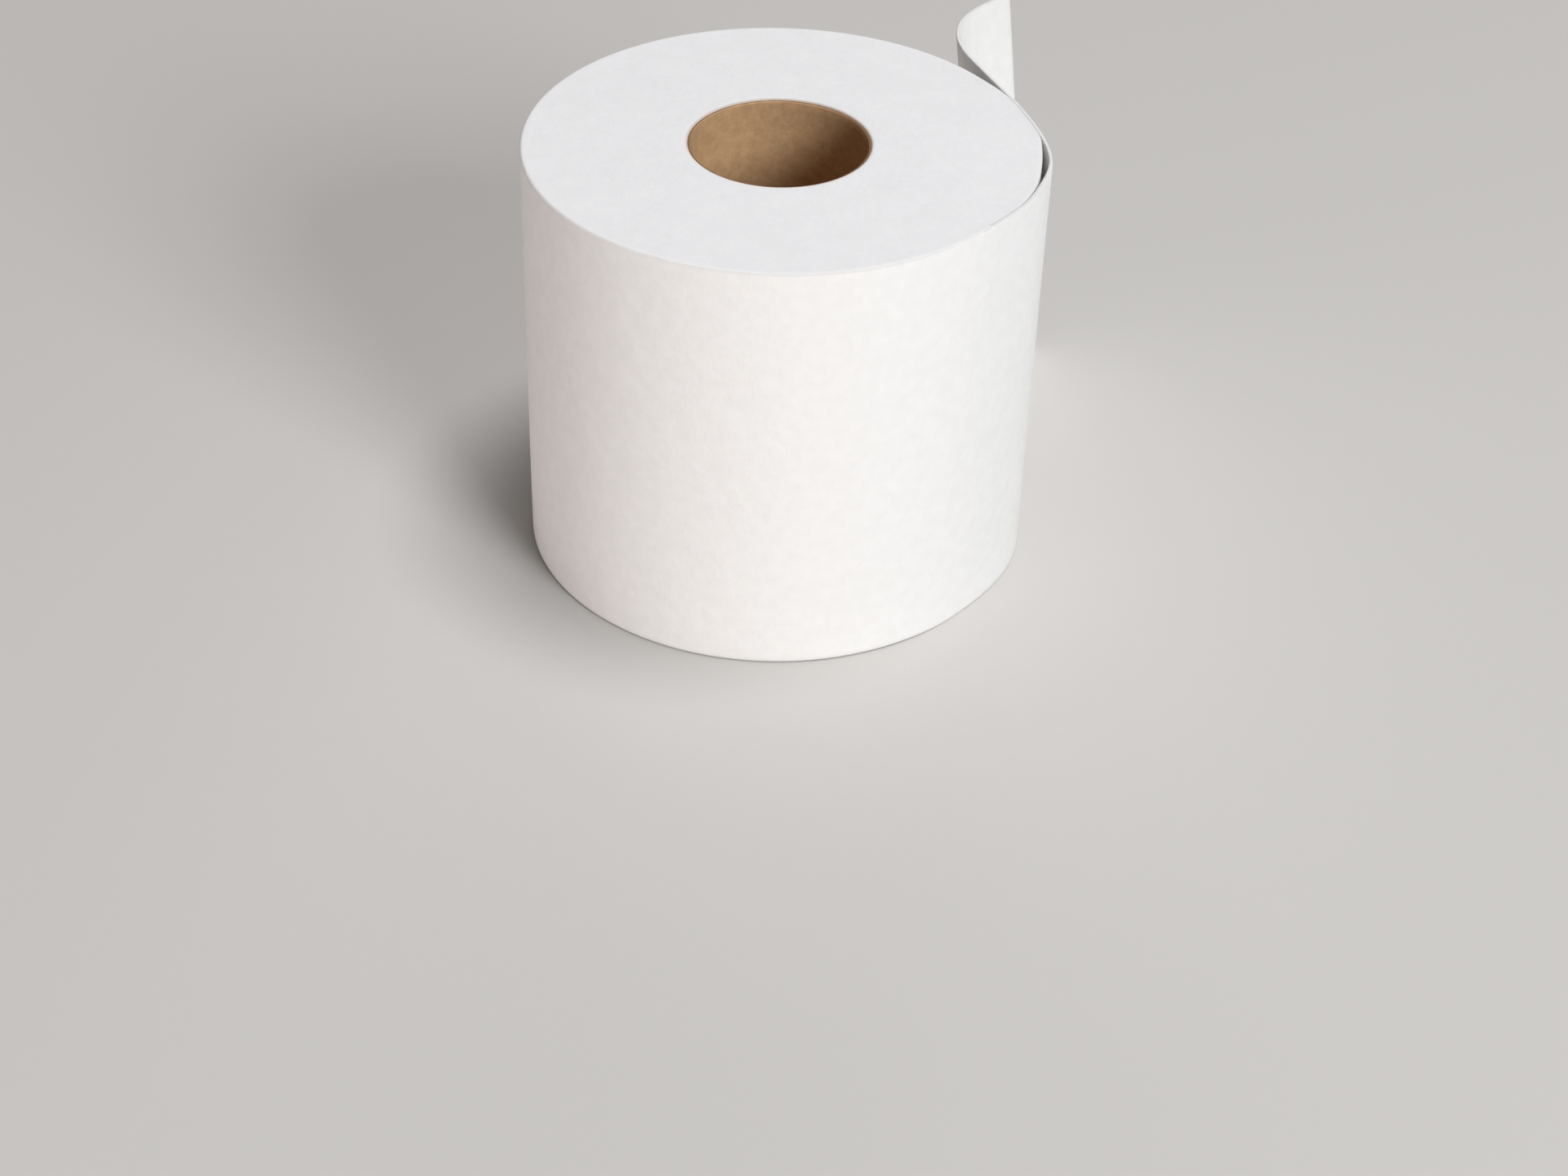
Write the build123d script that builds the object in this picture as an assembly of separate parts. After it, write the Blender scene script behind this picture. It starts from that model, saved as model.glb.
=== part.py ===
from build123d import *
from math import ceil, cos, pi, radians, sin
import os

# A toilet paper roll that stands on its end, in millimetres and degrees
# +Z is the roll's axis, and z = 0 is the end that it stands on
# The origin is on the axis, in the middle of that end
# Angles are counted from +X, anticlockwise as seen from above, which is the way the paper is wound

# The roll, and its paper, which is this thick where it is loose and pressed thinner in the roll
roll_diameter = 114.0
roll_width = 100.0
paper_thickness = 0.8

# The cardboard tube that the paper is wound on, sawn off together with it, so it is as long as the roll is wide
tube_outside_diameter = 40.2
tube_wall = 0.4
glued_gap = 0.0

# The outer turn, which has come loose at one side and lies against the roll again before the free end
loose_start = -42.0
touches_again = 20.0
lift_off = 23.0
bulge_at_top = 2.6
bulge_at_foot = 1.7

# The slit behind the loose turn, which has a narrow blunt end, some degrees past the place where it comes loose
slit_width = 0.2
slit_offset = 4.0

# The turns under the loose one have swollen out with it, but not as far, so the slit opens to a gap here
gap_start = -20.5
gap_end = 11.0
gap_at_top = 1.35
gap_at_foot = 0.8

# The free end, which leaves the roll in a straight run and then bends away from it
free_length = 60.9
straight_run = 19.0
bend_length = 40.5
bend_turn = 71.0

# The foot of the free end turns away sooner than its top, so that the end leans
foot_turn = 26.0
foot_turn_length = 8.0

# How finely the plan curves are followed: degrees round the roll, and millimetres along the free end
body_step = 10.0
bulge_step = 4.0
free_step = 3.0
stride = 0.25

roll_radius = roll_diameter / 2
tube_radius = tube_outside_diameter / 2
full_turn = 360.0


def ramp(fraction):
    """Rises smoothly from 0 to 1 as the fraction goes from 0 to 1."""
    inside = min(max(fraction, 0.0), 1.0)
    return inside * inside * (3 - 2 * inside)


def polar(radius, angle):
    """A plan point at a distance and an angle from the roll's axis."""
    return Vector(radius * cos(radians(angle)), radius * sin(radians(angle)))


def swelling(angle, first, last):
    """Rises from 0 to 1 and falls to 0 again between two angles, and is 0 outside them."""
    share = min(max((angle - first) / (last - first), 0.0), 1.0)
    return sin(pi * share) ** 2


def spiral_radius(angle):
    """The surface of the last wound turn, a spiral that grows by one paper in a turn."""
    wound = (angle - loose_start) / full_turn
    return roll_radius - paper_thickness + paper_thickness * wound


def loose_radius(angle, bulge):
    """The outer face of the loose turn, from where it leaves the roll to the free end."""
    lifted = spiral_radius(lift_off) + slit_width + paper_thickness - roll_radius
    share = (angle - loose_start) / (lift_off - loose_start)
    return roll_radius + lifted * share + bulge * swelling(angle, loose_start, touches_again)


def covered_radius(angle, bulge, gap):
    """The roll's surface under the loose turn, a slit behind it, or a gap where the slit opens."""
    opening = slit_width + gap * swelling(angle, gap_start, gap_end)
    return loose_radius(angle, bulge) - paper_thickness - opening


def free_heading(distance, early_turn):
    """The way the free end runs, at a distance along it from the lift-off."""
    bend = bend_turn * ramp((distance - straight_run) / bend_length)
    early = early_turn * ramp(distance / foot_turn_length)
    return lift_off + 90 - max(bend, early)


def free_path(early_turn):
    """Plan points and headings along the outer face of the free end, evenly spaced."""
    point = polar(loose_radius(lift_off, 0.0), lift_off)
    steps = ceil(free_length / free_step)
    spacing = free_length / steps
    strides = ceil(spacing / stride)
    path = []
    for number in range(1, steps * strides + 1):
        walked = number * spacing / strides
        middle = walked - spacing / strides / 2
        point = point + polar(spacing / strides, free_heading(middle, early_turn))
        if number % strides == 0:
            path.append((point, free_heading(walked, early_turn)))
    return path


def angles_between(first, last, step):
    """Angles from first to last, as near to the step as fits evenly."""
    count = ceil((last - first) / step)
    return [first + (last - first) * number / count for number in range(count + 1)]


def winding_outline(z, bulge, gap, early_turn):
    """The closed outline of the winding at one height: its body, its loose turn and its free end."""
    slit_end = loose_start + slit_offset
    covered_angles = angles_between(slit_end, lift_off, bulge_step)
    bare_angles = angles_between(lift_off, loose_start + full_turn, body_step)
    covered = [polar(covered_radius(angle, bulge, gap), angle) for angle in covered_angles]
    bare = covered[-1:] + [polar(spiral_radius(angle), angle) for angle in bare_angles[1:]]
    loose_outside = [polar(loose_radius(angle, bulge), angle)
                     for angle in angles_between(loose_start, lift_off, bulge_step)]
    loose_inside = [polar(loose_radius(angle, bulge) - paper_thickness, angle)
                    for angle in covered_angles]
    free_outside = loose_outside[-1:]
    free_inside = loose_inside[-1:]
    for point, heading in free_path(early_turn):
        free_outside.append(point)
        free_inside.append(point + polar(paper_thickness, heading + 90))
    cut_end = [free_outside[-1], free_inside[-1]]
    slit_bottom = [loose_inside[0], covered[0]]
    curves = [covered, bare, loose_outside, free_outside, cut_end, free_inside[::-1],
              loose_inside[::-1], slit_bottom]
    raised = [[point + Vector(0, 0, z) for point in curve] for curve in curves]
    return Face(Wire([Spline(*curve) if len(curve) > 2 else Line(*curve) for curve in raised]))


def paper_winding():
    """The wound paper, from the tube to the free end, as one solid."""
    foot = winding_outline(0.0, bulge_at_foot, gap_at_foot, foot_turn)
    top = winding_outline(roll_width, bulge_at_top, gap_at_top, 0.0)
    wound = Solid.make_loft([foot.outer_wire(), top.outer_wire()], ruled=True)
    hole = Solid.make_cylinder(tube_radius + glued_gap, roll_width)
    return wound - hole


def core_tube():
    """The cardboard tube, flush with both ends of the winding."""
    outside = Solid.make_cylinder(tube_radius, roll_width)
    inside = Solid.make_cylinder(tube_radius - tube_wall, roll_width)
    return outside - inside


parts = {
    "paper_winding": paper_winding(),
    "core_tube": core_tube(),
}
os.makedirs("parts", exist_ok=True)
for name, shape in parts.items():
    export_step(shape, f"parts/{name}.step")
    print(name, "volume", round(shape.volume, 1), "valid", shape.is_valid)
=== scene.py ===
# %% [markdown]
# # A toilet paper roll
#
# A toilet paper roll is two things: a strip of soft tissue, wound about ninety times, and the
# brown cardboard tube that it is wound on. The solid model holds their sizes. This lesson gives
# them the look of the real ones: soft sawn edges, faint creping, a mottled white, and board with
# a grain and a glued seam.
#
# The solid model is loaded first, and the sizes of its parts are read from it.

# %% Load the measured roll
import math

import bmesh
import bpy
import numpy as np
from mathutils import Matrix, Vector, noise


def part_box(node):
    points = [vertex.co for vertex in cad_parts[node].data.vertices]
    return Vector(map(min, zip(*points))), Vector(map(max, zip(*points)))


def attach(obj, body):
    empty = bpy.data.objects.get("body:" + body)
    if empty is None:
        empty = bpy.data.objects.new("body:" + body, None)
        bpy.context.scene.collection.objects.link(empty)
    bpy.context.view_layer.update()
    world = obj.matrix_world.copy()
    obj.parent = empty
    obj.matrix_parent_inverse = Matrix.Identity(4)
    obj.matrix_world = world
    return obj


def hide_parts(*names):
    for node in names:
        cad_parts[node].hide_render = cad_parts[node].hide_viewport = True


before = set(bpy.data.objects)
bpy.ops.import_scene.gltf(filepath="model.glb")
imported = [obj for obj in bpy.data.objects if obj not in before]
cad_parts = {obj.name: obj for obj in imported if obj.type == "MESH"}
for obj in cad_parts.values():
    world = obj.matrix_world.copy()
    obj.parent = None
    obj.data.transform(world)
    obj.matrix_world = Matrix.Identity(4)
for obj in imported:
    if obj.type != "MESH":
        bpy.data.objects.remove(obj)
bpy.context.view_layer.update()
mm = 0.001

# %% [markdown]
# ## The camera
#
# The roll is looked down on from the front, as on a shelf below the eye. A long lens from two
# thirds of a metre away keeps the rim a calm ellipse, where a short one would swell the near
# edge. The camera could be aimed with a constraint, but three plain turns say more: a little to
# the right, well down, and a slight tilt of the frame.

# %% Aim the camera
camera_place = Vector((0.0, -566.2, 401.2)) * mm
turned_right = math.radians(0.361)
turned_down = math.radians(36.749)
frame_tilt = math.radians(1.523)
lens_length = 66.64
sensor_width = 36.0

line_of_sight = Vector((math.sin(turned_right) * math.cos(turned_down),
                        math.cos(turned_right) * math.cos(turned_down),
                        -math.sin(turned_down)))
aim = line_of_sight.to_track_quat("-Z", "Y").to_matrix() @ Matrix.Rotation(frame_tilt, 3, "Z")
camera_data = bpy.data.cameras.new("camera")
camera_data.lens = lens_length
camera_data.sensor_width = sensor_width
camera = bpy.data.objects.new("camera", camera_data)
camera.matrix_world = Matrix.Translation(camera_place) @ aim.to_4x4()
bpy.context.scene.collection.objects.link(camera)
bpy.context.scene.camera = camera
print("camera is", round(camera_place.length, 3), "m from the foot of the roll")

# %% [markdown]
# ## The plan of the paper
#
# Seen from above, the paper is one line wound round and round. All the turns but the last lie
# tight and read as a solid ring. The last turn has come loose at one side. It swells away from
# the roll, comes back to it, and then runs out as the free end. The turns under it have swollen
# too, but not as far, so a dark gap opens between them where the loose turn stands out most.
# Just before the gap the paper has fluffed up, to more than one and a half times its thickness.
#
# This could be traced as one curve by hand, but the same few sizes that shape the solid model
# give it exactly, so the dressed paper lies where the solid does. Only what lies behind the
# loose turn is finer here: the slit closes to a hair where the soft paper lies on paper, and the
# gap closes a little sooner than in the solid, as on the real roll.
#
# Angles are in degrees from +X, anticlockwise as seen from above.

# %% Sizes of the winding
winding_low, winding_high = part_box("paper_winding")
roll_width = winding_high[2] - winding_low[2]
roll_radius = 57.0 * mm
paper = 0.8 * mm

loose_start = -42.0
touches_again = 20.0
lift_off = 23.0
bulge_at_top = 2.6 * mm
bulge_at_foot = 1.7 * mm

slit_end = loose_start + 4.0
slit = 0.2 * mm
closed_slit = 0.03 * mm
slit_opens = -30.0
opens_over = 12.0
slit_closes = 0.0
puff_settles = 15.0

gap_start = -19.5
gap_end = 7.0
gap_at_top = 1.2 * mm
gap_at_foot = 0.8 * mm
fluff_start = -28.0
fluff_end = -4.0
fluff = 0.58 * mm

free_length = 60.9 * mm
straight_run = 19.0 * mm
bend_length = 40.5 * mm
bend_turn = 71.0
foot_turn = 26.0
foot_turn_length = 8.0 * mm
print("the roll is", round(roll_width / mm, 1), "mm wide and", 2 * roll_radius / mm, "mm across")

# %% [markdown]
# Three small curves are enough to draw the plan. A ramp lets one size pass into another without
# a kink. A squared sine swells and sinks again. The body itself is a spiral that grows by one
# paper in a turn. A drawn curve could be smoothed by eye, but these are smooth by themselves,
# and they still hold when a size is changed.


# %% Helpers for plan curves
def ramp(fraction):
    """Rises smoothly from 0 to 1 as the fraction goes from 0 to 1."""
    inside = np.clip(fraction, 0.0, 1.0)
    return inside * inside * (3 - 2 * inside)


def swelling(angle, first, last):
    """Rises from 0 to 1 and falls to 0 again between two angles, and is 0 outside them."""
    return np.sin(np.pi * np.clip((angle - first) / (last - first), 0.0, 1.0)) ** 2


def around(radius, angle):
    """Plan points at a distance and an angle from the roll's axis."""
    turn = np.radians(angle)
    return np.stack([radius * np.cos(turn), radius * np.sin(turn)], axis=-1)


def blend(first, last, share):
    """The first at a share of 0, the last at a share of 1, and in between by shares."""
    return first + (last - first) * share


print("half way through a swelling it is at", swelling(0.5, 0.0, 1.0), "of its full height")


# %% Radius of each surface of the roll
def spiral_radius(angle):
    """The surface of the last wound turn."""
    return roll_radius - paper + paper * (angle - loose_start) / 360


def loose_radius(angle, bulge):
    """The outer face of the loose turn."""
    lifted = spiral_radius(lift_off) + slit + paper - roll_radius
    share = (angle - loose_start) / (lift_off - loose_start)
    return roll_radius + lifted * share + bulge * swelling(angle, loose_start, touches_again)


def loose_thickness(angle):
    """The paper of the loose turn, thicker where it has fluffed up."""
    return paper + fluff * swelling(angle, fluff_start, fluff_end)


def openness(angle):
    """How open the slit is: 0 at its end and where the loose turn touches the roll again."""
    opened = ramp((angle - slit_opens) / opens_over)
    closed = ramp((angle - slit_closes) / (gap_end - slit_closes))
    return opened * (1 - closed)


def body_radius(angle, bulge, gap):
    """The surface of the body: under the loose turn as far as the lift-off, and bare after it."""
    opening = blend(closed_slit, slit, openness(angle)) + gap * swelling(angle, gap_start, gap_end)
    covered = loose_radius(angle, bulge) - loose_thickness(angle) - opening
    puffed = (slit - closed_slit) * (1 - ramp((angle - lift_off) / puff_settles))
    return np.where(angle < lift_off, covered, spiral_radius(angle) + puffed)


print("the loose turn stands out by up to", bulge_at_top / mm, "mm")

# %% [markdown]
# The free end isn't a curve round the axis, so it is walked instead: forward in small strides,
# with a heading that turns as the paper does. At the foot it turns away sooner than at the top,
# so the free end leans. Every other height lies between the two.


# %% Follow the paper in plan
def free_end(start, early_turn, steps=62, strides=16):
    """Outer face of the free end and the way it looks out, walked from where it lifts off."""
    walked = np.linspace(0.0, free_length, steps * strides + 1)
    bend = bend_turn * ramp((walked - straight_run) / bend_length)
    early = early_turn * ramp(walked / foot_turn_length)
    heading = lift_off + 90 - np.maximum(bend, early)
    pace = around(1.0, heading)
    moved = np.cumsum((pace[1:] + pace[:-1]) / 2 * walked[1], axis=0)
    path = start + np.vstack([[0.0, 0.0], moved])
    return path[strides::strides], around(1.0, heading - 90)[strides::strides]


turn_step = 1.0
turn_angle = np.arange(loose_start, lift_off + turn_step / 2, turn_step)


def outer_paper(bulge, early_turn):
    """Outer face of the loose turn and the free end together, and the way each point looks out."""
    turn = around(loose_radius(turn_angle, bulge), turn_angle)
    end, end_out = free_end(turn[-1], early_turn)
    return np.vstack([turn, end]), np.vstack([around(1.0, turn_angle), end_out])


paper_at_foot = outer_paper(bulge_at_foot, foot_turn)
paper_at_top = outer_paper(bulge_at_top, 0.0)
paper_count = len(paper_at_top[0])
end_count = paper_count - len(turn_angle)
thickness = np.concatenate([loose_thickness(turn_angle), np.full(end_count, paper)])

body_count = 238
body_angle = np.linspace(slit_end, loose_start + 360, body_count)
body_at_foot = around(body_radius(body_angle, bulge_at_foot, gap_at_foot), body_angle)
body_at_top = around(body_radius(body_angle, bulge_at_top, gap_at_top), body_angle)
print("free end's top corner, in mm:", (paper_at_top[0][-1] / mm).round(1))

# %% [markdown]
# ## The body of the roll, the loose turn and the free end
#
# They are one strip of paper, so they are one mesh. A cylinder with a plane stuck on would show
# a joint where the paper flows on. Here one closed outline goes round the body, out along the
# loose turn, round the free end and back along its inner face to the end of the slit. The
# outline is stacked in rows from foot to top, and each end is closed by rings of faces that run
# in to the tube.
#
# Tissue has no hard edges. Where the side meets the sawn end, the rows draw in round a small
# curve of seven tenths of a millimetre. The loose paper is round on both sides of its edge, by
# a third as much. Where paper lies on paper the two curves would leave a groove, so they nearly
# vanish there.

# %% Outline of one row
slit_column = int((slit_end - loose_start) / turn_step)
nose_of_paper = 0.2 * mm


def outline(height_share):
    """Closed outline at one height, the way each point looks out, and the way its paper looks out."""
    outer = blend(paper_at_foot[0], paper_at_top[0], height_share)
    out = blend(paper_at_foot[1], paper_at_top[1], height_share)
    out /= np.linalg.norm(out, axis=1, keepdims=True)
    inner = outer - out * thickness[:, None]
    ahead = np.array([-out[-1, 1], out[-1, 0]])
    nose = (outer[-1] + inner[-1]) / 2 + ahead * nose_of_paper
    back = slice(None, slit_column - 1, -1)
    body = blend(body_at_foot, body_at_top, height_share)
    plan = np.vstack([body, outer[1:], [nose], inner[back]])
    looks = np.vstack([around(1.0, body_angle), out[1:], [ahead], -out[back]])
    paper_out = np.vstack([around(1.0, body_angle), out[1:], [out[-1]], out[back]])
    return plan, looks, paper_out


print("points in the outline:", len(outline(0.0)[0]))

# %% Soft edges
roll_edge = 0.7 * mm
sheet_edge = 0.25 * mm
closed_edge = 0.05 * mm
widens_over = 12.0
narrows_over = 20.0
points_to_open = 6

soft_rows = 5
side_rows = 44
close_share = 0.008
even_share = 0.025


def edge_radius():
    """Radius of the soft edge at each point of the outline."""
    bare = ramp((body_angle - lift_off) / widens_over)
    full = blend(sheet_edge, roll_edge, bare * ramp((loose_start + 360 - body_angle) / narrows_over))
    body = blend(closed_edge, full, np.where(body_angle < lift_off, openness(body_angle), bare))
    away = ramp(np.arange(1, end_count + 1) / points_to_open)
    inner = blend(closed_edge, sheet_edge, np.concatenate([openness(turn_angle), away]))
    outer = np.full(paper_count, sheet_edge)
    return np.concatenate([body, outer[1:], [0.0], inner[:slit_column - 1:-1]])


def edge_rows(radius):
    """Height and draw-in of each row, from the foot, up the side, to the top."""
    turns = np.radians(np.linspace(90, 90 / soft_rows, soft_rows))
    foot = [(radius * (1 - math.sin(turn)), radius * (1 - math.cos(turn))) for turn in turns]
    even = np.linspace(even_share, 1 - even_share, side_rows)
    shares = np.concatenate([[0.0, close_share], even, [1 - close_share, 1.0]])
    side = [(radius + (roll_width - 2 * radius) * share, 0 * radius) for share in shares]
    top = [(roll_width - height, draw) for height, draw in reversed(foot)]
    return foot + side + top


winding_rows = edge_rows(edge_radius())
print("rows from foot to top:", len(winding_rows))

# %% [markdown]
# Wound tissue is never quite true. The side has shallow hollows, a few hundredths of a
# millimetre deep, where the paper lies on softer turns. They can't be seen as shapes, but they
# break up the light on the side, and a perfect cylinder would look like plastic. The free end
# has more freedom, so it waves a little more, most of all along its cut edges.
#
# A displacement modifier could do this with a texture, but then the two faces of the thin paper
# would be pushed apart. Here each point is moved the way its own paper looks out, by the same
# amount on both faces. The heights come from smooth noise, which a seed moves to a fresh place.

# %% Unevenness of the paper
hollow_depth = 0.035 * mm
dimple_depth = 0.014 * mm
wave_depth = 0.15 * mm
edge_wave_depth = 0.1 * mm
edge_wave_power = 4
turn_freedom = 0.25


def hills(x, y, z, size, seed):
    """Soft hills and hollows between -1 and 1, of about one size."""
    return noise.noise(Vector((x / size + seed, y / size - seed, z / size)))


def looseness():
    """How free the paper is to wave at each point of the outline: 0 on the body, 1 at the free end."""
    body = np.zeros(body_count)
    turn = np.linspace(0.0, turn_freedom, len(turn_angle))
    end = np.linspace(turn_freedom, 1.0, end_count + 1)[1:]
    outer = np.concatenate([turn, end])
    return np.concatenate([body, outer[1:], [1.0], outer[:slit_column - 1:-1]])


def unevenness(x, y, z, loose):
    """How far the paper at this place stands out from its true line."""
    firm = hollow_depth * hills(x, y, z, 14 * mm, 3.1) + dimple_depth * hills(x, y, z, 5 * mm, 7.7)
    to_edge = abs(2 * z / roll_width - 1) ** edge_wave_power
    long_wave = wave_depth * hills(x, y, z, 30 * mm, 1.3)
    edge_wave = edge_wave_depth * to_edge * hills(x, y, 0, 11 * mm, 5.2)
    return firm + loose * loose * (long_wave + edge_wave)


def winding_side():
    """Rows of points from foot to top."""
    freedom = looseness()
    rows = []
    for height, draw in winding_rows:
        plan, looks, paper_out = outline(float(np.mean(height)) / roll_width)
        middle = plan - looks * paper * 0.5
        shift = [unevenness(x, y, z, loose) for (x, y), z, loose in zip(middle, height, freedom)]
        drawn = plan - looks * draw[:, None] + paper_out * np.array(shift)[:, None]
        rows.append(np.column_stack([drawn, height]))
    return np.array(rows)


side_points = winding_side()
print("points up the side:", side_points.shape[0] * side_points.shape[1])

# %% [markdown]
# ## The sawn ends
#
# A long log of paper is sawn into rolls, so each end shows the edges of all the turns, pressed
# into a flat, felt-like face. The turns lie too close to tell apart from arm's length. What is
# left of them is a faint relief: some turns stand a few hundredths of a millimetre prouder than
# others, in rings, and the saw leaves shallow soft spots.
#
# A flat lid would close the end with one face, but then light couldn't find the relief. So the
# end is built as rings of points that run from the soft outer edge in to the tube, and the
# relief follows the turns. Beside the tube the saw has frayed the first turns, so there the
# rings dip down a small lip. The thin edge of the loose paper is closed by a strip of its own.

# %% Relief of the sawn end
tube_low, tube_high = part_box("core_tube")
tube_radius = (tube_high[0] - tube_low[0]) / 2
ring_count = 60
ring_crowding = 0.95
settling_rings = 3
lip = 0.45 * mm
lip_turns = np.radians([18, 36, 54, 72, 90])
turn_depth = 0.02 * mm
group_depth = 0.03 * mm
spot_depth = 0.05 * mm
top_seed = 11.0
foot_seed = 23.0


def raised(height):
    """A height between -1 and 1, brought to between 0 and 1."""
    return 0.5 + 0.5 * height


def sawn_relief(x, y, seed):
    """How far the sawn face lies under its highest turns."""
    distance = math.hypot(x, y)
    turns = raised(noise.noise(Vector((distance / (1.5 * mm), seed, 0.3))))
    groups = raised(noise.noise(Vector((distance / (5 * mm), 0.7, seed))))
    spots = raised(hills(x, y, 0, 9 * mm, seed))
    return turn_depth * turns + group_depth * groups + spot_depth * spots


def end_rings(rim, height, inward, seed):
    """Rings of points from beside the rim in to the tube, each on its own ray from the axis."""
    reach = np.linalg.norm(rim[:, :2], axis=1)
    ray = rim[:, :2] / reach[:, None]
    face = [(blend(reach, tube_radius + lip, (number / ring_count) ** ring_crowding), 0.0)
            for number in range(1, ring_count + 1)]
    edge = [(tube_radius + lip - lip * math.sin(turn) + 0 * reach, lip - lip * math.cos(turn))
            for turn in lip_turns]
    rings = []
    for number, (radius, dip) in enumerate(face + edge, start=1):
        plan = ray * radius[:, None]
        settled = float(ramp(number / settling_rings))
        deep = [dip + settled * sawn_relief(x, y, seed) for x, y in plan]
        rings.append(np.column_stack([plan, height + inward * np.array(deep)]))
    return np.array(rings)


print("each sawn end gets", ring_count + len(lip_turns), "rings of points")


# %% Make the winding
def band(lower, upper, closed):
    """Four-sided faces between two rows of point numbers."""
    count = len(lower)
    last = count if closed else count - 1
    return [(lower[i], lower[(i + 1) % count], upper[(i + 1) % count], upper[i]) for i in range(last)]


def close_end(rim_row, points, faces, top):
    """Closes one end of the winding, and gives its inmost ring and the faces of the paper's edge."""
    attached_count = body_count + slit_column - 1
    loose_count = paper_count - slit_column
    attached = rim_row[:attached_count]
    outer = rim_row[attached_count:attached_count + loose_count]
    nose = rim_row[attached_count + loose_count]
    inner = rim_row[:-loose_count - 1:-1]
    rim = np.array([points[number] for number in attached])
    rings = end_rings(rim, rim[0][2], -1.0 if top else 1.0, top_seed if top else foot_seed)
    rows = []
    for ring in rings:
        rows.append(list(range(len(points), len(points) + len(ring))))
        points.extend(ring.tolist())
    made = band(attached, rows[0], False)
    made.append((attached[-1], outer[0], inner[0], attached[0], rows[0][0], rows[0][-1]))
    for first, second in zip(rows, rows[1:]):
        made += band(first, second, True)
    edge = band(inner, outer, False)
    edge.append((outer[-1], nose, inner[-1]))
    faces += made + edge
    return rows[-1], range(len(faces) - len(edge), len(faces))


def new_piece(name, points, faces):
    """A smooth closed mesh at the origin, with its faces looking outwards."""
    mesh = bpy.data.meshes.new(name)
    mesh.from_pydata([tuple(point) for point in points], [], faces)
    shell = bmesh.new()
    shell.from_mesh(mesh)
    bmesh.ops.recalc_face_normals(shell, faces=shell.faces)
    shell.to_mesh(mesh)
    shell.free()
    mesh.shade_smooth()
    piece = bpy.data.objects.new(name, mesh)
    bpy.context.scene.collection.objects.link(piece)
    return piece


def make_winding():
    """The wound paper as one piece, and the numbers of the sheet's faces and of its thin edge's."""
    row_count, row_size = side_points.shape[:2]
    points = side_points.reshape(-1, 3).tolist()
    numbers = [list(range(row * row_size, (row + 1) * row_size)) for row in range(row_count)]
    covered_count = int(np.sum(body_angle < lift_off))
    faces = []
    thin_edge = set()
    for row, (lower, upper) in enumerate(zip(numbers, numbers[1:])):
        if row < soft_rows or row >= row_count - 1 - soft_rows:
            thin_edge.update(range(len(faces), len(faces) + covered_count))
            thin_edge.update(range(len(faces) + body_count, len(faces) + row_size))
        faces += band(lower, upper, True)
    side = set(range(len(faces))) - thin_edge
    foot_ring, foot_edge = close_end(numbers[0], points, faces, top=False)
    top_ring, top_edge = close_end(numbers[-1], points, faces, top=True)
    faces += band(foot_ring, top_ring, True)
    return new_piece("tissue_winding", points, faces), side, thin_edge.union(foot_edge, top_edge)


winding, sheet_faces, thin_edge_faces = make_winding()
print("winding has", len(winding.data.vertices), "points and", len(winding.data.polygons), "faces")

# %% [markdown]
# ## The cardboard tube
#
# The tube is two strips of brown board, wound on a slant round a mandrel and glued. Inside, the
# edges of the inner strip meet in a seam that climbs the wall like a stair rail. The wall is
# less than half a millimetre thick, and the saw leaves its rim a little under the springy paper.
#
# A plain pipe would do for the shape, but the seam has to run on a slant, and a slanted groove
# can't follow upright columns. So the columns of the mesh are wound on the same slant, and the
# seam is simply a few columns that stand close together, with the middle ones pressed back.

# %% Sizes of the tube
tube_wall = 0.4 * mm
tube_bore = tube_radius - tube_wall
tube_width = tube_high[2] - tube_low[2]
glue_line = 0.01 * mm
dent_depth = 0.05 * mm

rim_sunk = 0.3 * mm
rim_edge = 0.1 * mm
rim_roughness = 0.06 * mm
rim_starts = tube_bore + 0.02 * mm
rim_ends = tube_radius - 0.05 * mm

seam_climb = 95.0 * mm
seam_at_top = 188.0
seam_depth = 0.1 * mm
seam_reach = 0.12 * mm
curl_height = 0.05 * mm
curl_place = 0.7 * mm
curl_reach = 0.6 * mm
print("tube is", round(2 * tube_bore / mm, 1), "mm across inside")

# %% Columns, rings and relief of the tube
near_seam = np.array([0.06, 0.16, 0.34, 0.7, 1.4]) * mm
wide_from = 7.0
wide_columns = 140
wall_rows = 50
close_row = 0.8 * mm
even_row = 1.5 * mm


def seam_columns():
    """Angles of the tube's columns from its seam, in degrees, close together at the seam."""
    near = np.degrees(near_seam / tube_bore)
    wide = np.linspace(wide_from, 360 - wide_from, wide_columns)
    return np.concatenate([[0.0], near, wide, 360 - near[::-1]])


def seam_relief(away):
    """How far the inside wall stands back or forward, at an angle away from the seam."""
    across = np.radians(away) * tube_bore
    groove = seam_depth * np.exp(-(across / seam_reach) ** 2)
    curl = curl_height * np.exp(-((across - curl_place) / curl_reach) ** 2)
    return groove - curl


def tube_rings():
    """Closed rings round the wall's section: up the inside, over the top rim, and down the outside."""
    top = tube_width - rim_sunk
    corner = 0.3 * rim_edge
    even = np.linspace(even_row, tube_width - even_row, wall_rows)
    heights = np.concatenate([[rim_sunk + rim_edge, close_row], even,
                              [tube_width - close_row, top - rim_edge]])
    inside = [(height, tube_bore) for height in heights]
    outside = [(height, tube_radius - glue_line) for height in heights[::-1]]
    top_rim = [(top - corner, tube_bore + corner), (top, tube_bore + rim_edge)]
    top_rim += [(top, tube_bore + tube_wall * share) for share in (0.45, 0.6)]
    top_rim += [(top, tube_radius - rim_edge)]
    foot_rim = [(tube_width - height, radius) for height, radius in reversed(top_rim)]
    return inside + top_rim + outside + foot_rim


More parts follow.
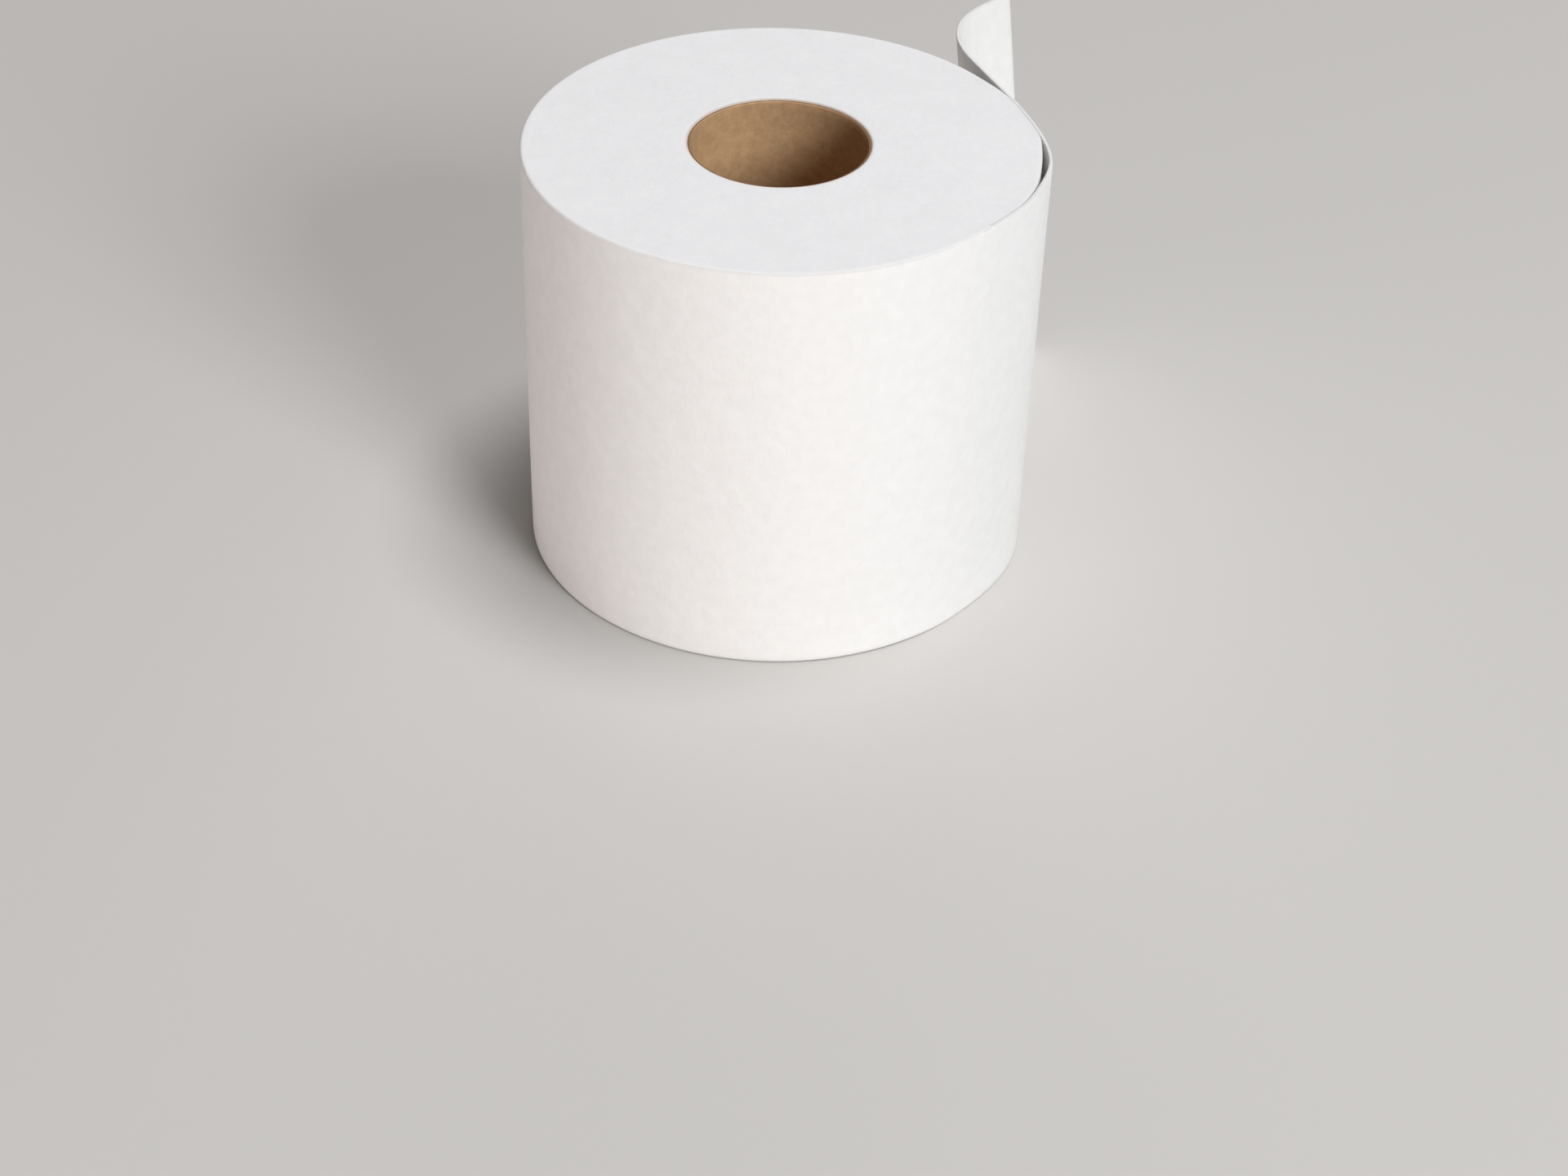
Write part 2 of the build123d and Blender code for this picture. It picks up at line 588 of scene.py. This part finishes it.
def rim_relief(radius, angle):
    """How far the sawn rim lies under its highest point."""
    x, y = around(radius, angle)
    return rim_roughness * raised(hills(x, y, 0, 1.6 * mm, 2.5))


print("the tube's wall gets", len(tube_rings()), "rings of", len(seam_columns()), "points")


# %% Make the tube
def make_tube():
    """The cardboard tube as one piece."""
    columns = seam_columns()
    away = np.where(columns > 180, columns - 360, columns)
    rings = tube_rings()
    points = []
    for height, radius in rings:
        angle = seam_at_top + columns + 360 * (tube_width - height) / seam_climb
        on_wall = radius < rim_starts
        on_rim = rim_starts < radius < rim_ends
        inwards = -1.0 if height > tube_width / 2 else 1.0
        for turn, reach in zip(angle, radius + seam_relief(away) * on_wall):
            x, y = around(reach, turn)
            dent = dent_depth * hills(x, y, height, 13 * mm, 6.1) * on_wall
            sunk = rim_relief(reach, turn) * on_rim
            x, y = around(reach + dent, turn)
            points.append((x, y, height + inwards * sunk))
    size = len(columns)
    numbers = [list(range(ring * size, (ring + 1) * size)) for ring in range(len(rings))]
    faces = []
    for first, second in zip(numbers, numbers[1:] + numbers[:1]):
        faces += band(first, second, True)
    return new_piece("cardboard_tube", points, faces)


tube = make_tube()
print("tube has", len(tube.data.vertices), "points and", len(tube.data.polygons), "faces")

# %% [markdown]
# ## Finishes
#
# Tissue is short fibres, loosely felted and creped: the sheet is scraped off a drum, which leaves
# fine ripples across its length, so upright ones on a standing roll. It is matt, and it has a
# soft bloom at grazing angles because loose fibres stand up from it. A painted picture of paper
# would need unwrapping and would blur close up. Noise in the piece's own coordinates stays
# sharp, needs no unwrapping, and runs unbroken from the body to the free end.


# %% Helpers for finishes
def new_finish(name):
    """A new material, its node tree and its one shader."""
    finish = bpy.data.materials.new(name)
    finish.use_nodes = True
    return finish, finish.node_tree, finish.node_tree.nodes["Principled BSDF"]


def add(tree, kind, **settings):
    """A new node with its settings and its unlinked inputs."""
    made = tree.nodes.new(kind)
    for key, value in settings.items():
        if hasattr(made, key):
            setattr(made, key, value)
        else:
            made.inputs[key.replace("_", " ")].default_value = value
    return made


def stretched(tree, stretch):
    """The piece's own coordinates, scaled by a stretch along each axis."""
    place = add(tree, "ShaderNodeTexCoord")
    scaled = add(tree, "ShaderNodeMapping")
    scaled.inputs["Scale"].default_value = stretch
    tree.links.new(place.outputs["Object"], scaled.inputs["Vector"])
    return scaled.outputs["Vector"]


def grain(tree, size, stretch=(1, 1, 1), detail=3.0, roughness=0.55):
    """Noise whose spots are about one size, in metres, stretched along each axis."""
    spots = add(tree, "ShaderNodeTexNoise", Scale=1 / size, Detail=detail, Roughness=roughness)
    tree.links.new(stretched(tree, stretch), spots.inputs["Vector"])
    return spots.outputs["Fac"]


def spread(tree, value, low, high, to_low, to_high):
    """The value's range from low to high, mapped to another range."""
    mapped = add(tree, "ShaderNodeMapRange")
    for key, number in zip(("From Min", "From Max", "To Min", "To Max"), (low, high, to_low, to_high)):
        mapped.inputs[key].default_value = number
    tree.links.new(value, mapped.inputs["Value"])
    return mapped.outputs["Result"]


def tint(tree, share, first, second, *between):
    """A colour between two colours, by way of others that are each given with their place."""
    mixed = add(tree, "ShaderNodeValToRGB")
    mixed.color_ramp.elements[0].color = (*first, 1)
    mixed.color_ramp.elements[1].color = (*second, 1)
    for place, colour in between:
        mixed.color_ramp.elements.new(place).color = (*colour, 1)
    tree.links.new(share, mixed.inputs["Fac"])
    return mixed.outputs["Color"]


def shaded(tree, colour, shade):
    """The colour times a shade."""
    product = add(tree, "ShaderNodeVectorMath", operation="MULTIPLY")
    tree.links.new(colour, product.inputs[0])
    tree.links.new(shade, product.inputs[1])
    return product.outputs["Vector"]


def relief(tree, shader, heights):
    """Bumps on a shader: each height is a value and its depth in metres."""
    normal = None
    for value, depth in heights:
        bump = add(tree, "ShaderNodeBump", Strength=1.0, Distance=depth)
        tree.links.new(value, bump.inputs["Height"])
        if normal is not None:
            tree.links.new(normal, bump.inputs["Normal"])
        normal = bump.outputs["Normal"]
    tree.links.new(normal, shader.inputs["Normal"])


print("a finish is one shader with noise, tints and relief")

# %% [markdown]
# The side of the roll and the free end are the face of the tissue: a warm white with blotches
# two or three millimetres across, where the felt of fibres is thicker or thinner, and the fine
# upright ripples of the creping. The blotches are hardly darker than the rest. They are mostly
# relief, so they show where the light comes along the surface and vanish where it comes head on.
#
# Light also soaks into tissue and comes out beside where it went in, even on the far side of a
# single sheet. That is what makes it look soft and keeps the inside of the loose turn from
# going black. Subsurface light does this, with a reach of about the sheet's thickness.
#
# Along the saw cut, the soft edge is painted a shade greyer than the face and the end that it
# joins: painted shade, which keeps the lamps from lighting the turn brighter than both. The
# last millimetre or two of the face beside each sawn end is a shade greyer too. The thin cut
# edge of the loose paper, and the edge of the roll behind it, get darker painted shade in a copy
# of the face's finish. A smooth edge of plain white would shine there like a wire.
#
# The grey could be painted along the edge, but the surface already says where it belongs: how
# far it is turned from upright to level. So the greys are a ramp from upright, at 0, to level,
# at 1.

# %% Painted shade of the soft edge
# Painted shade: the share of white kept along the ramp from upright to level, darker for the thin edge.
painted_edge_greys = ((0.2, 0.93), (0.38, 0.85), (0.7, 0.79), (0.92, 0.85), (0.98, 0.95))
thin_edge_painted_shade = 0.93
cut_grey = 0.97
cut_reach = 1.6 * mm
plain_white = (1, 1, 1)


def paint_edge_shade(tree, colour, edge_painted_shade=1.0):
    """The colour with painted shade where the surface turns up or down, deeper by the edge's shade."""
    surface = add(tree, "ShaderNodeNewGeometry")
    parts = add(tree, "ShaderNodeSeparateXYZ")
    level = add(tree, "ShaderNodeMath", operation="ABSOLUTE")
    tree.links.new(surface.outputs["Normal"], parts.inputs["Vector"])
    tree.links.new(parts.outputs["Z"], level.inputs[0])
    between = [(place, (grey * edge_painted_shade,) * 3) for place, grey in painted_edge_greys]
    shade = tint(tree, level.outputs["Value"], plain_white, (edge_painted_shade,) * 3, *between)
    return shaded(tree, colour, shade)


def near_the_cut(tree):
    """A shade that is grey at both sawn ends and white a little way from them."""
    parts = add(tree, "ShaderNodeSeparateXYZ")
    from_middle = add(tree, "ShaderNodeMath", operation="SUBTRACT")
    away = add(tree, "ShaderNodeMath", operation="ABSOLUTE")
    tree.links.new(stretched(tree, (1, 1, 1)), parts.inputs["Vector"])
    tree.links.new(parts.outputs["Z"], from_middle.inputs[0])
    from_middle.inputs[1].default_value = roll_width / 2
    tree.links.new(from_middle.outputs["Value"], away.inputs[0])
    share = spread(tree, away.outputs["Value"], roll_width / 2 - cut_reach, roll_width / 2, 0.0, 1.0)
    return tint(tree, share, plain_white, (cut_grey,) * 3)


# How much of its white the soft edge keeps under the painted shade.
print("the crushed edge keeps", min(grey for _, grey in painted_edge_greys), "of its white")

# %% Finish of the tissue's face
tissue_white = (0.905, 0.896, 0.882)
tissue_thin = (0.882, 0.872, 0.858)
soak_reach = 1.0 * mm
soak_share = 0.6
soak_by_colour = (1.0, 0.95, 0.9)
noise_range = (0.36, 0.64)


def soak(shader):
    """Lets light soak into the tissue and come out beside where it went in."""
    shader.inputs["Subsurface Weight"].default_value = soak_share
    shader.inputs["Subsurface Radius"].default_value = soak_by_colour
    shader.inputs["Subsurface Scale"].default_value = soak_reach


def tissue_face(name, edge_painted_shade):
    """The sheet's white, with painted shade where it turns up or down, deeper by the edge's shade."""
    finish, tree, shader = new_finish(name)
    blotches = grain(tree, 3.0 * mm, detail=3.0, roughness=0.5)
    clouds = grain(tree, 9 * mm, detail=2.0)
    creping = grain(tree, 0.55 * mm, stretch=(1, 1, 0.15), detail=2.0)
    share = spread(tree, blotches, *noise_range, 0.0, 1.0)
    white = shaded(tree, tint(tree, share, tissue_thin, tissue_white), near_the_cut(tree))
    tree.links.new(paint_edge_shade(tree, white, edge_painted_shade), shader.inputs["Base Color"])
    relief(tree, shader, [(clouds, 0.18 * mm), (blotches, 0.16 * mm), (creping, 0.025 * mm)])
    soak(shader)
    shader.inputs["Roughness"].default_value = 1.0
    shader.inputs["Specular IOR Level"].default_value = 0.12
    shader.inputs["Sheen Weight"].default_value = 0.03
    shader.inputs["Sheen Roughness"].default_value = 0.6
    return finish


print("light soaks", soak_reach / mm, "mm into the tissue")

# %% [markdown]
# The sawn end is all cut edges. Its white is painted a shade greyer and cooler than the face's,
# for the shade and the cooler light on the level end, with faint clouds. Beside the tube it gets
# painted brownish shade, where it dips to the tube, with light bounced off the board in it. It
# also carries a trace of the turns. Plain rings round the axis would be the simplest, but a roll
# has one spiral: the distance from the axis, less a share of the angle, runs up by one pressed
# paper in a turn.

# %% Finish of the sawn ends
# Painted shade: these whites are greyer and cooler than the face's, for the light on the level end.
end_white_shaded = (0.876, 0.874, 0.878)
end_grey_shaded = (0.844, 0.842, 0.847)
two_noises_range = (0.75, 1.25)
pressed_paper = 0.4 * mm
# Painted brownish shade where the end dips to the tube, with light bounced off the board in it.
tube_shade_brown = (0.78, 0.66, 0.56)
tube_shade_reach = 0.8 * mm
flat = (1, 1, 0)


def turns_of_paper(tree):
    """A value that rises and falls once in each turn of the paper, along one spiral."""
    plan = stretched(tree, flat)
    distance = add(tree, "ShaderNodeVectorMath", operation="LENGTH")
    parts = add(tree, "ShaderNodeSeparateXYZ")
    angle = add(tree, "ShaderNodeMath", operation="ARCTAN2")
    tree.links.new(plan, distance.inputs[0])
    tree.links.new(plan, parts.inputs["Vector"])
    tree.links.new(parts.outputs["Y"], angle.inputs[0])
    tree.links.new(parts.outputs["X"], angle.inputs[1])
    phase = add(tree, "ShaderNodeMath", operation="MULTIPLY_ADD")
    phase.inputs[1].default_value = 2 * math.pi / pressed_paper
    tree.links.new(distance.outputs["Value"], phase.inputs[0])
    back = add(tree, "ShaderNodeMath", operation="MULTIPLY")
    back.inputs[1].default_value = -1.0
    tree.links.new(angle.outputs["Value"], back.inputs[0])
    tree.links.new(back.outputs["Value"], phase.inputs[2])
    wave = add(tree, "ShaderNodeMath", operation="SINE")
    tree.links.new(phase.outputs["Value"], wave.inputs[0])
    return wave.outputs["Value"]


def tube_painted_shade(tree):
    """Painted brownish shade with light bounced off the board: 1 at the tube and 0 further out."""
    distance = add(tree, "ShaderNodeVectorMath", operation="LENGTH")
    tree.links.new(stretched(tree, flat), distance.inputs[0])
    return spread(tree, distance.outputs["Value"], tube_radius, tube_radius + tube_shade_reach, 1.0, 0.0)


def sawn_end():
    """The felt of cut edges, with a trace of the turns and painted brown shade beside the tube."""
    finish, tree, shader = new_finish("sawn_end")
    felt = grain(tree, 1.6 * mm, detail=4.0, roughness=0.6)
    clouds = grain(tree, 7 * mm, detail=3.0)
    fuzz = grain(tree, 0.35 * mm, detail=3.0)
    mottle = add(tree, "ShaderNodeMath", operation="ADD")
    tree.links.new(felt, mottle.inputs[0])
    tree.links.new(clouds, mottle.inputs[1])
    share = spread(tree, mottle.outputs["Value"], *two_noises_range, 0.0, 1.0)
    shade_by_tube = tint(tree, tube_painted_shade(tree), plain_white, tube_shade_brown)
    colour = shaded(tree, tint(tree, share, end_grey_shaded, end_white_shaded), shade_by_tube)
    tree.links.new(paint_edge_shade(tree, colour), shader.inputs["Base Color"])
    relief(tree, shader, [(felt, 0.08 * mm), (turns_of_paper(tree), 0.004 * mm), (fuzz, 0.04 * mm)])
    soak(shader)
    shader.inputs["Roughness"].default_value = 1.0
    shader.inputs["Specular IOR Level"].default_value = 0.15
    return finish


print("the sawn end shows", round((roll_radius - tube_radius) / pressed_paper), "turns")

# %% [markdown]
# The tube is unbleached board: brown, with soft darker and paler clouds, and short fibres that
# roughen it. The sawn rim is a redder brown. One brown for both would be simpler, but a cut goes
# through the glued layers and shows their darker middle, so the rim has a finish of its own.

# %% Finish of the board
board_brown = (0.63, 0.404, 0.22)
board_dark = (0.53, 0.327, 0.17)
rim_brown = (0.27, 0.145, 0.08)
rim_dark = tuple(0.8 * part for part in rim_brown)


def board(name, pale, dark):
    """Matt brown board with clouds between two browns, roughened by fibres."""
    finish, tree, shader = new_finish(name)
    clouds = grain(tree, 2.2 * mm, detail=5.0, roughness=0.7)
    fibres = grain(tree, 0.5 * mm, stretch=(1, 1, 0.6), detail=3.0)
    share = spread(tree, clouds, *noise_range, 0.0, 1.0)
    tree.links.new(tint(tree, share, dark, pale), shader.inputs["Base Color"])
    relief(tree, shader, [(clouds, 0.12 * mm), (fibres, 0.03 * mm)])
    shader.inputs["Roughness"].default_value = 0.88
    shader.inputs["Specular IOR Level"].default_value = 0.3
    return finish


print("the board's brown is", board_brown, "and its rim's", rim_brown)

# %% Put the finishes on
on_sheet, on_sawn_end, on_thin_edge = range(3)
winding.data.materials.append(tissue_face("tissue_face", 1.0))
winding.data.materials.append(sawn_end())
# The thin edge's copy of the face's finish has darker painted shade.
winding.data.materials.append(tissue_face("tissue_thin_edge", thin_edge_painted_shade))
finish_of_face = dict.fromkeys(sheet_faces, on_sheet) | dict.fromkeys(thin_edge_faces, on_thin_edge)
for face in winding.data.polygons:
    face.material_index = finish_of_face.get(face.index, on_sawn_end)
tube.data.materials.append(board("tube_board", board_brown, board_dark))
tube.data.materials.append(board("tube_rim", rim_brown, rim_dark))
for face in tube.data.polygons:
    reach = math.hypot(face.center.x, face.center.y)
    face.material_index = 1 if rim_starts < reach < rim_ends else 0
for piece, node, slot in ((winding, "paper_winding", "tissue"), (tube, "core_tube", "cardboard")):
    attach(piece, "root")
    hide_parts(node)
print("finishes:", [finish.name for piece in (winding, tube) for finish in piece.data.materials])

# %% [markdown]
# ## Floor and light
#
# The roll stands on a plain pale floor in a bright room. A soft lamp to the right, in front and
# above is the window: it lights the tube down its left wall and leaves the right wall dark. A
# long low lamp at the left is the warm glow that a room throws back. It lies so low that it
# lights the side and not the tube, so the left of the roll falls away softly. A lamp overhead
# lights the sawn end. A weak, low one behind keeps the back of the roll from going dark, and a
# little light comes from all round.
#
# One lamp could light the roll too, but then the side, the end and the tube can't be given their
# own share of light. White paper clips easily, so the lamps are kept low enough for the
# brightest side to keep its blotches.

# %% Floor
floor_grey = (0.62, 0.605, 0.585)
floor_reach = 6.0


def floor_finish():
    """A plain, matt, pale grey."""
    finish, tree, shader = new_finish("plain_floor")
    shader.inputs["Base Color"].default_value = (*floor_grey, 1)
    shader.inputs["Roughness"].default_value = 0.9
    shader.inputs["Specular IOR Level"].default_value = 0.1
    return finish


def make_floor(reach):
    """A square floor that reaches as far as this to each side of the roll."""
    mesh = bpy.data.meshes.new("floor")
    corners = [(-reach, -reach, 0), (reach, -reach, 0), (reach, reach, 0), (-reach, reach, 0)]
    mesh.from_pydata(corners, [], [(0, 1, 2, 3)])
    floor = bpy.data.objects.new("floor", mesh)
    floor.data.materials.append(floor_finish())
    bpy.context.scene.collection.objects.link(floor)
    return floor


floor = make_floor(floor_reach)
print("floor is", floor.dimensions.x, "m wide")

# %% Lamps and room light
middle_of_roll = Vector((0.0, 0.0, 0.05))
room_light = 0.1


def towards(turn, rise):
    """A direction from the roll: degrees from the front towards the right, and degrees up."""
    turn = math.radians(turn)
    rise = math.radians(rise)
    return Vector((math.sin(turn) * math.cos(rise), -math.cos(turn) * math.cos(rise), math.sin(rise)))


def make_lamp(name, direction, distance, width, height, power, colour):
    """A soft oval lamp that faces the roll from a direction."""
    data = bpy.data.lights.new(name, "AREA")
    data.shape = "ELLIPSE"
    data.size = width
    data.size_y = height
    data.energy = power
    data.color = colour
    lamp = bpy.data.objects.new(name, data)
    turn = (-direction).to_track_quat("-Z", "Y").to_matrix().to_4x4()
    lamp.matrix_world = Matrix.Translation(middle_of_roll + direction * distance) @ turn
    bpy.context.scene.collection.objects.link(lamp)
    return lamp


def light_the_room(strength):
    """A little white light from all round."""
    world = bpy.data.worlds.new("room")
    world.use_nodes = True
    ground = world.node_tree.nodes["Background"]
    ground.inputs["Color"].default_value = (1.0, 1.0, 1.0, 1)
    ground.inputs["Strength"].default_value = strength
    bpy.context.scene.world = world


window_lamp = make_lamp("window_lamp", towards(36, 28), distance=2.4, width=0.96, height=0.96,
                        power=35.2, colour=(0.95, 0.98, 1.0))
glow_lamp = make_lamp("glow_lamp", towards(-36, 2), distance=1.6, width=1.2, height=0.18,
                      power=7.0, colour=(1.0, 0.87, 0.82))
overhead_lamp = make_lamp("overhead_lamp", towards(85, 80), distance=2.6, width=0.93, height=0.93,
                          power=35.4, colour=(1.0, 0.98, 0.99))
back_lamp = make_lamp("back_lamp", towards(176, 8), distance=2.4, width=1.2, height=0.5,
                      power=12.0, colour=(1.0, 0.97, 0.95))
light_the_room(room_light)
bpy.context.scene.view_settings.view_transform = "Standard"
for lamp in (window_lamp, glow_lamp, overhead_lamp, back_lamp):
    print(lamp.name, "of", round(lamp.data.energy, 1), "W")
